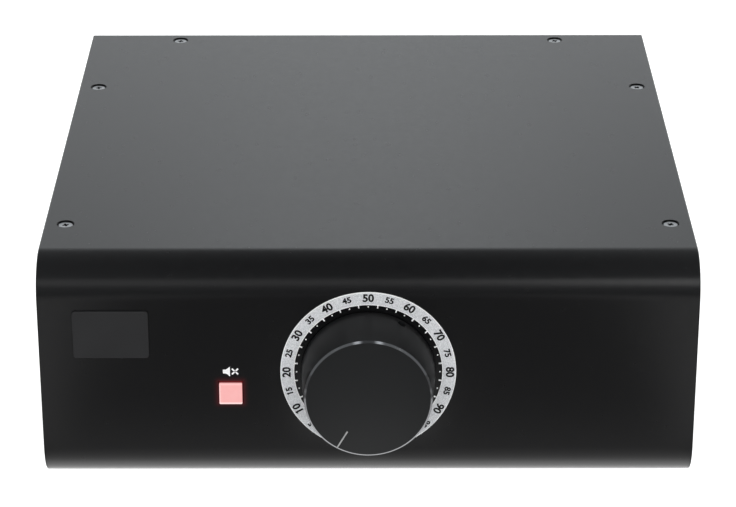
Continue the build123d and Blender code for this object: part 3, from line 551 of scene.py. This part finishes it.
tooth = start("cube", "tooth", size=1.0, scale=(tooth_width, ring_thickness,
                                               tooth_length + tooth_width))
edit(tooth)
pick("EDGE", lambda edge: max(p.y for p in ends(edge)) < 0)
soften(0.05 * mm, 2)
done()
parts = [ring]
for step in range(scale_gaps):
    angle = scale_start + (step + 0.5) * scale_turn / scale_gaps
    place = at_dial(ring_inner - (tooth_length - tooth_width) / 2, angle,
                    case_front_y - ring_thickness / 2)
    parts.append(settle(copy_of(tooth, f"tooth_{step}"), place, (0, radians(angle), 0)))
bpy.data.objects.remove(tooth)
ring = join("dial_ring", parts)
smooth(ring, 40)

anodised = Finish("scale_silver", tone(212, 213, 216), 0.42, metallic=0.2)
sparkle = anodised.noise(4200, 3.0)
x, y, z = anodised.axes()
from_shaft = x.math("SQRT", x * x + (z - dial_z) * (z - dial_z))
# Painted highlight: the ring's inner and outer edges are coloured almost white, standing in for light
# caught on their bevels.
painted_edge_highlight = anodised.ramp(abs(from_shaft - (ring_inner + ring_outer) / 2), 1.9 * mm, 2.2 * mm)
grain = anodised.blend(anodised.ramp(sparkle, 0.3, 0.7), tone(190, 192, 195), tone(232, 233, 235))
anodised.set("Base Color", anodised.blend(painted_edge_highlight, grain, tone(252)))
anodised.set("Roughness", 0.36 + 0.12 * sparkle)
anodised.relief(sparkle, 0.004 * mm)
fit(ring, anodised, "housing", "scale_silver", "scale_ring")


def printed(text, height, weight, stretch):
    """Printed figures as a thin flat mesh, drawn upright round the origin."""
    bpy.ops.object.select_all(action="DESELECT")
    bpy.ops.object.text_add()
    label = bpy.context.object
    label.data.body = text
    label.data.size = height / capital_share
    label.data.align_x = "CENTER"
    label.data.offset = weight * height
    label.data.extrude = 0.005 * mm
    label.data.resolution_u = 5
    label.scale.x = stretch
    bpy.ops.object.convert(target="MESH")
    bpy.ops.object.transform_apply(location=True, rotation=True, scale=True)
    return bpy.context.object


capital_share = 0.7  # height of a figure against the size of its type
number_height = 2.55 * mm
small_height = 1.95 * mm
number_lift = 0.3 * mm
numbers = []
for value in range(0, scale_end + 1, scale_step):
    large = value % 10 == 0
    height = number_height if large else small_height
    angle = scale_start + value * scale_turn / scale_end
    label = printed(str(value), height, 0.052 if large else 0.056, 1.02 if large else 1.06)
    if value in (10, 15, 100):
        bar = min(corner.co.x for corner in label.data.vertices)
        flag = start("cube", "flag", size=1.0, rotation=(0, 0, radians(38)),
                     location=(bar - 0.02 * height, 0.88 * height, 0),
                     scale=(0.3 * height, 0.15 * height, 0.01 * mm))
        label = join("number", [label, flag])
    place = at_dial((ring_inner + ring_outer) / 2 + number_lift - height / 2, angle,
                    dial_low.y - 0.006 * mm)
    numbers.append(settle(label, place, (pi / 2, radians(angle), 0)))
ink_black = moulded("scale_ink", tone(6), 0.6, depth=0.002 * mm, specular=0.2)
fit(join("scale_numbers", numbers), ink_black, "housing", "scale_silver")

dot_radius = 0.24 * mm
dot_depth = 0.03 * mm
dot_place = 23.45 * mm
dots = []
for value in range(0, scale_end + 1, scale_step):
    angle = scale_start + value * scale_turn / scale_end
    dot = start("cylinder", "dot", vertices=16, radius=dot_radius, depth=dot_depth,
                rotation=(pi / 2, 0, 0),
                location=at_dial(dot_place, angle, case_front_y - dot_depth / 2))
    edit(dot)
    pick("FACE", lambda face: face.normal.y < -0.9)
    bpy.ops.mesh.inset(thickness=0.05 * mm)
    push(y=-0.005 * mm)
    done()
    dots.append(dot)
ink_white = moulded("panel_ink", tone(238), 0.5, depth=0.002 * mm)
fit(join("scale_dots", dots), ink_white, "housing", "scale_silver")

# ---- Knob ----
# Turned from black anodised aluminium with a slight taper; its side gets a darker, duller copy
# of the face's finish as painted shade.
# The edge of the face is cut bright after anodising, and so is the engraved pointer. A grub screw
# through the side holds the shaft.
knob_low, knob_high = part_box("knob")
knob_base = knob_high.x
knob_face = 20.65 * mm
knob_edge = 0.6 * mm
knob_foot = 0.3 * mm
bore_radius = 3.02 * mm
bore_depth = 31.1 * mm
grub_radius = 1.5 * mm
groove_width = 0.5 * mm
groove_depth = 0.8 * mm
groove_length = 7.2 * mm
knob = start("cylinder", "volume_knob_body", vertices=160, radius=knob_base,
             depth=knob_high.y - knob_low.y, rotation=(pi / 2, 0, 0),
             location=(0, (knob_low.y + knob_high.y) / 2, dial_z))
edit(knob)
pick("FACE", lambda face: face.normal.y < -0.9)
share = knob_face / knob_base
bpy.ops.transform.resize(value=(share, 1, share), center_override=(0, 0, dial_z))
pick("EDGE", lambda edge: max(p.y for p in ends(edge)) < knob_low.y + hair)
soften(knob_edge, 1)
pick("EDGE", lambda edge: min(p.y for p in ends(edge)) > knob_high.y - hair)
soften(knob_foot, 3)
done()
bore = start("cylinder", "cutter", vertices=48, radius=bore_radius, depth=bore_depth,
             rotation=(pi / 2, 0, 0), location=(0, knob_high.y, dial_z))
grub_low, grub_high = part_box("knob_grub_screw")
grub_y = (grub_low.y + grub_high.y) / 2
grub_angle = 30.0
grub_hole = start("cylinder", "cutter", vertices=40, radius=grub_radius, depth=knob_base,
                  location=at_dial(0.6 * knob_base, grub_angle, grub_y),
                  rotation=(0, radians(grub_angle), 0))
groove = start("cube", "cutter", size=1.0, scale=(groove_width, groove_depth, groove_length),
               rotation=(0, radians(scale_start), 0),
               location=at_dial(knob_face - groove_length / 2, scale_start, knob_low.y))
cut(knob, bore, grub_hole, groove)
smooth(knob, 25)

knob_coat = Finish("knob_black", tone(19, 20, 21), 0.4)
x, y, z = knob_coat.axes()
height = z - dial_z
rings = knob_coat.node("TexNoise", {"noise_dimensions": "1D"},
                       {"W": (x * x + height * height) * 2.4e6, "Scale": 1.0, "Detail": 2.0})
satin = knob_coat.noise(2200)
knob_coat.set("Base Color", knob_coat.blend(satin, tone(17, 18, 19), tone(21, 22, 23)))
knob_coat.set("Roughness", 0.38 + 0.06 * rings + 0.04 * satin)
knob_coat.relief(0.5 * rings + 0.5 * satin, 0.0015 * mm)
# Painted shade: the knob's side is the same anodising, darker, for the shade it lies in beside the
# panel.
knob_side_painted_shade = Finish("knob_side_painted_shade", tone(12, 12, 13), 0.5, specular=0.3)
turned = knob_side_painted_shade.node("TexNoise", {"noise_dimensions": "1D"}, {"W": y * 9000.0, "Detail": 2.0})
knob_side_painted_shade.set("Base Color", knob_side_painted_shade.blend(turned, tone(10, 10, 11), tone(15, 15, 16)))
knob_side_painted_shade.set("Roughness", 0.46 + 0.08 * turned)
knob_side_painted_shade.relief(turned, 0.0015 * mm)
fit(knob, knob_coat, "volume_knob", "knob_black", "knob")
bright = metal("bright_cut", tone(196, 197, 200), 0.1, grain=700, depth=0.0005 * mm)
knob.data.materials.append(bright.material)
knob.data.materials.append(knob_side_painted_shade.material)
for face in knob.data.polygons:
    away = hypot(face.center.x, face.center.z - dial_z)
    if knob_face - knob_edge < away and 0.3 < -face.normal.y < 0.95 and \
            face.center.y < knob_low.y + knob_edge:
        face.material_index = 1
    elif abs(face.normal.y) < 0.3 and knob_face - knob_edge < away:
        face.material_index = 2
dress(metal("pointer_silver", tone(240), 0.6), "knob_pointer")
dress(metal("grub_steel", tone(40), 0.4), "knob_grub_screw")

# ---- Volume control ----
# An eight-gang potentiometer: grey moulded cups with white wiper carriers on a square tail, held
# together by two rods between a die-cast bushing plate and an end plate.
pot_metal = metal("pot_metal", tone(168, 170, 172), 0.4)
dress(pot_metal, "pot_bushing", "pot_end_plate", "pot_nut", "pot_tie_rods")
dress(metal("shaft_steel", tone(190, 191, 193), 0.25, stretch=(1, 8, 1)), "pot_shaft")
dress(metal("tinned_leads", tone(205, 205, 200), 0.3), "pot_terminals", "inlet_pins")
dress(moulded("pot_grey", tone(72, 74, 78), 0.6), "pot_cups")
dress(moulded("rotor_white", tone(222, 220, 212), 0.55), "pot_rotors")

# ---- Mute key ----
# A square key of clear red plastic in a punched hole, lit from behind by a red lamp, with a steel
# spring behind its stem. A loudspeaker with a cross beside it is printed above it.
key_bevel = 0.45 * mm
key_corner = 0.25 * mm
key = start("cube", "mute_key", size=1.0, location=(mute_low + mute_high) / 2,
            scale=mute_high - mute_low)
edit(key)
pick("EDGE", lambda edge: abs(ends(edge)[0].y - ends(edge)[1].y) > mm)
soften(key_corner, 3)
pick("EDGE", lambda edge: max(p.y for p in ends(edge)) < mute_low.y + 0.01 * mm)
soften(key_bevel, 2)
done()
key_red = Finish("mute_glow", tone(200, 120, 120), 0.3)
x, y, z = key_red.axes()
# Painted highlights: the key's emission turns paler along its left, upper and lower edges.
left_highlight = key_red.ramp(mute_x - x, 3.2 * mm, 3.35 * mm)
lower_highlight = key_red.ramp(mute_z - z, 2.9 * mm, 3.1 * mm)
upper_highlight = key_red.ramp(z - mute_z, 3.3 * mm, 3.45 * mm)
# Painted shade: towards the panel the key's sides turn dark red.
depth = key_red.ramp(y, mute_low.y + 0.3 * mm, mute_low.y + 1.6 * mm)
cloud = key_red.noise(500)
middle = key_red.blend(cloud, tone(238, 178, 176), tone(242, 189, 187))
front = key_red.blend(left_highlight, middle, tone(250, 208, 206))
front = key_red.blend(upper_highlight, front, tone(250, 198, 196))
front = key_red.blend(lower_highlight, front, tone(255, 232, 229))
key_red.set("Emission Color", key_red.blend(depth, front, tone(84, 8, 14)))
key_red.set("Emission Strength", 0.96)
key_red.set("Base Color", tone(96, 30, 32))
key_red.set("Roughness", 0.28 + 0.1 * cloud)
key_red.relief(key_red.noise(1500), 0.002 * mm)
fit(key, key_red, "mute_button", "mute_glow", "mute_cap")
dress(moulded("key_stem", tone(225, 150, 150), 0.4), "mute_plunger")
lamp_red = moulded("lamp_red", tone(200, 30, 30), 0.2)
lamp_red.set("Emission Color", tone(255, 60, 50))
lamp_red.set("Emission Strength", 1.0)
dress(lamp_red, "mute_lamp")
dress(metal("spring_steel", tone(180), 0.3), "mute_spring")
dress(moulded("black_plastic", tone(26), 0.5), "mute_switch_body", "power_switch_body",
      "mains_inlet", "fuse_drawer", "multipin_inserts", "ground_lift_slider", "ribbon_header")

sign_reach = 0.02 * mm
sign_z = 46.5 * mm
sign_growth = 1.3
speaker = start("plane", "speaker", size=1.0, rotation=(pi / 2, 0, 0), location=(-1.5 * mm, 0, 0),
                scale=(0.8 * mm, 1.1 * mm, 1))
edit(speaker)
pick("EDGE", lambda edge: min(p.x for p in ends(edge)) > -1.2 * mm)
push(x=1.0 * mm)
bpy.ops.transform.resize(value=(1, 1, 2.5))
bpy.ops.mesh.select_all(action="SELECT")
push(y=-sign_reach)
done()
strokes = []
for slant in (45, -45):
    stroke = start("plane", "stroke", size=1.0, rotation=(pi / 2, radians(slant), 0),
                   location=(1.15 * mm, 0, 0), scale=(2.2 * mm, 0.42 * mm, 1))
    edit(stroke)
    push(y=-sign_reach)
    done()
    strokes.append(stroke)
sign = settle(join("mute_sign", [speaker, *strokes]), (mute_x, case_front_y, sign_z))
edit(sign)
bpy.ops.mesh.select_all(action="SELECT")
bpy.ops.transform.resize(value=(sign_growth, 1, sign_growth),
                         center_override=(mute_x, case_front_y, sign_z - 0.3 * mm))
bpy.ops.mesh.normals_make_consistent(inside=False)
done()
fit(sign, ink_white, "housing", "scale_silver")

# ---- Circuit boards ----
# Green fibreglass boards carry the relays, amplifier chips, capacitors and regulators of the
# eight channels; a grey ribbon cable joins the volume control's board to the main one.
board_green = Finish("board_green", tone(24, 84, 50), 0.35)
tracks = board_green.node("TexBrick", {"offset": 0.37},
                          {"Vector": board_green.place, "Scale": 140.0, "Mortar Size": 0.06,
                           "Color1": tone(24, 84, 50), "Color2": tone(20, 74, 44),
                           "Mortar": tone(40, 112, 66)})
board_green.set("Base Color", tracks)
board_green.set("Roughness", 0.3 + 0.1 * board_green.noise(800))
board_green.relief(board_green.noise(900), 0.004 * mm)
dress(board_green, "main_board", "pot_board", "mute_board")
dress(moulded("relay_white", tone(218, 216, 208), 0.45), "mute_relays")
dress(moulded("chip_black", tone(30, 30, 32), 0.6), "line_amplifiers", "voltage_regulators")
dress(metal("heatsink_black", tone(30, 30, 32), 0.45), "heatsink")

can_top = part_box("filter_capacitors")[1].z
sleeve = moulded("capacitor_blue", tone(30, 52, 110), 0.35)
x, y, z = sleeve.axes()
top = z > can_top - 0.1 * mm
sleeve.set("Base Color", sleeve.blend(top, tone(30, 52, 110), tone(190, 192, 195)))
sleeve.set("Metallic", top)
dress(sleeve, "filter_capacitors")

ribbon_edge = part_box("ribbon_cable")[0].x
core_pitch = 1.27 * mm
ribbon = Finish("ribbon_grey", tone(150, 152, 156), 0.5)
x, y, z = ribbon.axes()
wave = x.math("SINE", (x - ribbon_edge) * (2 * pi / core_pitch))
first_core = x < ribbon_edge + core_pitch
ribbon.set("Base Color", ribbon.blend(first_core, ribbon.blend(0.5 + 0.5 * wave, tone(128), tone(168)),
                                      tone(170, 40, 40)))
ribbon.set("Roughness", 0.45 + 0.1 * ribbon.noise(1500))
ribbon.relief(0.5 + 0.5 * wave, 0.15 * mm)
dress(ribbon, "ribbon_cable")

# ---- Transformer ----
# A toroidal winding wrapped in yellowish polyester tape, clamped between two rubber pads by a
# flat eight-sided plate and one long bolt through the floor of the case.
core_low, core_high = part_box("transformer_core")
core_x = (core_low.x + core_high.x) / 2
core_y = (core_low.y + core_high.y) / 2
tape_laps = 96
tape = Finish("winding_tape", tone(196, 176, 96), 0.3)
x, y, z = tape.axes()
round_angle = x.math("ARCTAN2", y - core_y, x - core_x)
lap = x.math("FRACT", round_angle * (tape_laps / (2 * pi)) + 100.0)
cloud = tape.noise(200)
tape.set("Base Color", tape.blend(lap, tone(182, 160, 82), tone(206, 188, 112)))
tape.set("Roughness", 0.25 + 0.15 * cloud)
tape.relief(0.8 * lap + 0.2 * cloud, 0.1 * mm)
dress(tape, "transformer_core")
dress(moulded("pad_rubber", tone(28), 0.85), "transformer_pads")
dress(metal("bolt_steel", tone(150, 152, 150), 0.35), "transformer_bolt")

# ---- Connectors and switches on the back ----
# Two 25-way connectors in nickel-plated shells, a mains inlet with its fuse drawer, the mains
# rocker, and two slide switches, the red one worked with a screwdriver.
nickel_shell = metal("nickel", tone(188, 186, 180), 0.28)
dress(nickel_shell, "multipin_shells", "jack_screws")
dress(metal("switch_frame", tone(160, 162, 164), 0.35), "ground_lift_body",
      "voltage_selector_body")
rocker_black = moulded("rocker_black", tone(22), 0.35, grain=900)
dress(rocker_black, "power_rocker")
dress(moulded("selector_red", tone(176, 30, 28), 0.4), "voltage_selector_slider")
glass = moulded("fuse_glass", tone(214, 220, 216), 0.1)
fuse_low, fuse_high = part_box("mains_fuse")
x, y, z = glass.axes()
cap = abs(y - (fuse_low.y + fuse_high.y) / 2) > 7 * mm
glass.set("Base Color", glass.blend(cap, tone(206, 216, 212), tone(196, 196, 192)))
glass.set("Metallic", cap)
dress(glass, "mains_fuse")

gold = metal("contact_gold", tone(214, 176, 92), 0.25)
# Almost black, as painted shade at the floor of each contact's shallow recess.
socket_shade_black = moulded("contact_bore", tone(6), 0.8)
insert_face_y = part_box("multipin_inserts")[1].y
contact_radius = 0.62 * mm
contact_height = 0.14 * mm
contact_pitch = 2.77 * mm
row_offset = 1.42 * mm
connector_z = 25.5 * mm
contact = start("cylinder", "contact", vertices=12, radius=contact_radius, depth=contact_height,
                rotation=(pi / 2, 0, 0), location=(0, contact_height / 2, 0))
edit(contact)
pick("FACE", lambda face: face.normal.y > 0.9)
bpy.ops.mesh.inset(thickness=0.16 * mm)
push(y=-0.12 * mm)
done()
for number, connector_x in enumerate((-67.0 * mm, -10.5 * mm)):
    contacts = []
    for row, count in ((1, 13), (-1, 12)):
        for index in range(count):
            place = (connector_x + (index - (count - 1) / 2) * contact_pitch, insert_face_y,
                     connector_z + row * row_offset)
            contacts.append(settle(copy_of(contact, "contact_copy"), place))
    contacts = join(f"contacts_{number + 1}", contacts)
    fit(contacts, gold, "housing", "nickel")
    # Painted shade: the recess floor of each contact is almost black, in place of a deep socket's
    # shade.
    contacts.data.materials.append(socket_shade_black.material)
    for face in contacts.data.polygons:
        if face.normal.y > 0.9 and face.center.y < insert_face_y + 0.05 * mm:
            face.material_index = 1
bpy.data.objects.remove(contact)

# ---- Marks on the mains rocker ----
# A bar on one half and a ring on the other, moulded in white and level with the plastic. The
# rocker rests on its left half, so that its right half stands out at 24 degrees.
rocker_pivot = Vector((33.0 * mm, 116.635 * mm, 57.0 * mm))
rocker_rise = 1.5 * mm
rocker_tilt = 12.0
mark_centre = 4.2 * mm
mark_reach = 0.02 * mm
bar_width = 0.9 * mm
bar_height = 4.4 * mm
hoop_outer = 1.9 * mm
hoop_inner = 1.2 * mm
bar = start("cube", "rocker_bar", size=1.0, scale=(bar_width, mark_reach, bar_height))
edit(bar)
pick("EDGE", lambda edge: abs(ends(edge)[0].y - ends(edge)[1].y) > mark_reach / 2)
soften(0.3 * mm, 3)
done()
hoop = start("cylinder", "rocker_hoop", vertices=40, radius=hoop_outer, depth=mark_reach,
             rotation=(pi / 2, 0, 0))
cut(hoop, start("cylinder", "cutter", vertices=40, radius=hoop_inner, depth=4 * mark_reach,
                rotation=(pi / 2, 0, 0)))
for mark, side in ((bar, -1), (hoop, 1)):
    settle(mark, (side * mark_centre, rocker_rise + mark_centre * tan(radians(rocker_tilt)), 0),
           (0, 0, side * radians(rocker_tilt)))
    settle(mark, rocker_pivot, (0, 0, radians(rocker_tilt)))
    fit(mark, ink_white, "power_rocker", "rocker_black")

# ---- Screws in the back ----
# Black pan-head screws with a cross recess: four larger ones hold the rear panel to the side
# frames, and two smaller ones each slide switch.
black_screw = metal("black_screw", tone(58), 0.4)
panel_face_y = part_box("rear_panel")[1].y
big = make_screw("panel_screw", 1.9 * mm, 1.9 * mm, 2.8 * mm, 1.4 * mm, 1.0 * mm, False)
small = make_screw("ear_screw", 1.5 * mm, 1.5 * mm, 2.2 * mm, 1.2 * mm, 1.0 * mm, False)
spots = [(big, x * mm, z * mm) for x in (-102.0, 102.0) for z in (16.0, 74.0)]
spots += [(small, (x + side * 12.5) * mm, z * mm) for x, z in ((-38.75, 51.0), (33.0, 39.0))
          for side in (-1, 1)]
for index, (kind, x, z) in enumerate(spots):
    copy = settle(copy_of(kind, f"back_screw_{index + 1}"), (0, 0, 0), (0, 0, radians(53 * index)))
    settle(copy, (x, panel_face_y, z), (-pi / 2, 0, 0))
    fit(copy, black_screw, "housing", "black_screw")
bpy.data.objects.remove(big)
bpy.data.objects.remove(small)

# ---- Camera, light and floor ----
# A long lens looks from the front and above, against plain white. Reflections see a white horizon
# behind, a dark ceiling and a pale strip at each side, and a floor darker than the one in view,
# with pools of light painted on it round the case and below the knob.
# Soft lamps stand in front, above and behind.
bpy.ops.object.camera_add(location=(-0.00062861, -0.92285871, 0.45976688),
                          rotation=(1.14673177, 0.00064147, -0.00097898))
camera = bpy.context.object
camera.data.sensor_width = 36.0
camera.data.lens = 137.36
camera.data.clip_start = 0.05
bpy.context.scene.camera = camera
bpy.context.scene.view_settings.view_transform = "Standard"


class Surroundings(Finish):
    """The world's nodes, written as a material's are."""

    def __init__(self, world):
        world.use_nodes = True
        self.tree = world.node_tree
        self.shader = self.tree.nodes["Background"]
        self.place = self.node("TexCoord", output="Generated")


world = bpy.data.worlds.new("studio")
bpy.context.scene.world = world
sky = Surroundings(world)
x, y, z = sky.axes()
back = sky.ramp(y, -0.05, 0.62) * (1.0 - 0.75 * sky.ramp(z, 0.48, 0.72))
edge = 1.0 - sky.ramp(z, 0.335, 0.346)
haze = 1.0 - sky.ramp(z, 0.34, 0.41)
patch_height = 0.435
centre = x.math("SQRT", x * x + (z - patch_height) * (z - patch_height))
patch = 1.0 - sky.ramp(centre, 0.035, 0.11)
camera_ray = sky.node("LightPath", output="Is Camera Ray")
beyond = sky.ramp(abs(x), 0.24, 0.34)
sides = (1.0 - back) * sky.ramp(abs(x), 0.11, 0.22) * (0.7 - 0.6 * beyond)
level = 0.07 + sides + back * (0.6 + 0.18 * haze + 0.34 * edge + 0.7 * patch)
sky.set("Strength", camera_ray + (1.0 - camera_ray) * level)
sky.set("Color", sky.blend(camera_ray, tone(248, 252, 255), tone(254)))


def lamp(name, location, size, radiance, glossy):
    """A soft rectangular lamp aimed at the middle of the case."""
    bpy.ops.object.light_add(type="AREA", location=location)
    made = bpy.context.object
    made.name = name
    made.data.shape = "RECTANGLE"
    made.data.size, made.data.size_y = size
    made.data.energy = radiance * pi * size[0] * size[1]
    aim = Vector((0, 0, 0.04)) - made.location
    made.rotation_euler = aim.to_track_quat("-Z", "Y").to_euler()
    made.visible_camera = False
    made.visible_glossy = glossy


lamp("front_right", (0.8, -1.5, 1.05), (1.3, 0.6), 1.7, True)
lamp("front_left", (-0.7, -1.5, 1.05), (1.5, 0.6), 0.48, True)
lamp("overhead", (0.0, -0.3, 1.8), (1.4, 1.4), 1.6, False)
lamp("front_low", (0.0, -1.8, 0.6), (1.8, 0.8), 5.4, False)
lamp("rear_low", (0.0, 1.9, 0.7), (1.8, 0.9), 6.0, False)

floor = start("plane", "floor", size=8.0, location=(0, 0, -0.05 * mm))
floor_paint = Finish("floor_white", tone(190), 0.9)
x, y, z = floor_paint.axes()
side = abs(x) - case_half_width
front = case_front_y - y
clear = x.math("MAXIMUM", side, front)
clear = x.math("MAXIMUM", clear, y - case_rear_y)
clear = x.math("MAXIMUM", clear, 0.0)
# Painted light: seen only in reflections, the floor gets pools of light close round the case, beside
# its front corners and below the knob.
reflected_light_near_case = x.math("DIVIDE", 7.5 * mm, clear + 6 * mm)
reflected_light_near_case = reflected_light_near_case + 0.12 * (1.0 - floor_paint.ramp(clear, 20 * mm, 75 * mm))
beside = floor_paint.ramp(abs(x), 98 * mm, 124 * mm) * floor_paint.ramp(front, 25 * mm, 50 * mm)
beside = beside * (1.0 - floor_paint.ramp(abs(x), 140 * mm, 200 * mm)) * (0.58 + 0.04 * (x > 0))
reflected_light_near_case = reflected_light_near_case * (1.0 - floor_paint.ramp(abs(x), 108 * mm, 120 * mm))
reflected_light_below_knob = (1.0 - floor_paint.ramp(abs(x), 17 * mm, 28 * mm)) * \
    floor_paint.ramp(front, 40 * mm, 56 * mm) * (1.0 - floor_paint.ramp(front, 66 * mm, 106 * mm))
shine = floor_paint.node("LightPath", output="Is Camera Ray")
mirrored = floor_paint.node("LightPath", output="Is Glossy Ray")
floor_paint.set("Base Color", floor_paint.blend(mirrored, tone(190), tone(40)))
glossy_level = 0.05 + reflected_light_near_case + beside + reflected_light_below_knob
level = shine * 0.9 + mirrored * glossy_level
floor_paint.set("Emission Color", floor_paint.node(
    "CombineColor", (), {0: level, 1: level, 2: level}))
floor_paint.set("Emission Strength", 1.0)
floor.data.materials.append(floor_paint.material)
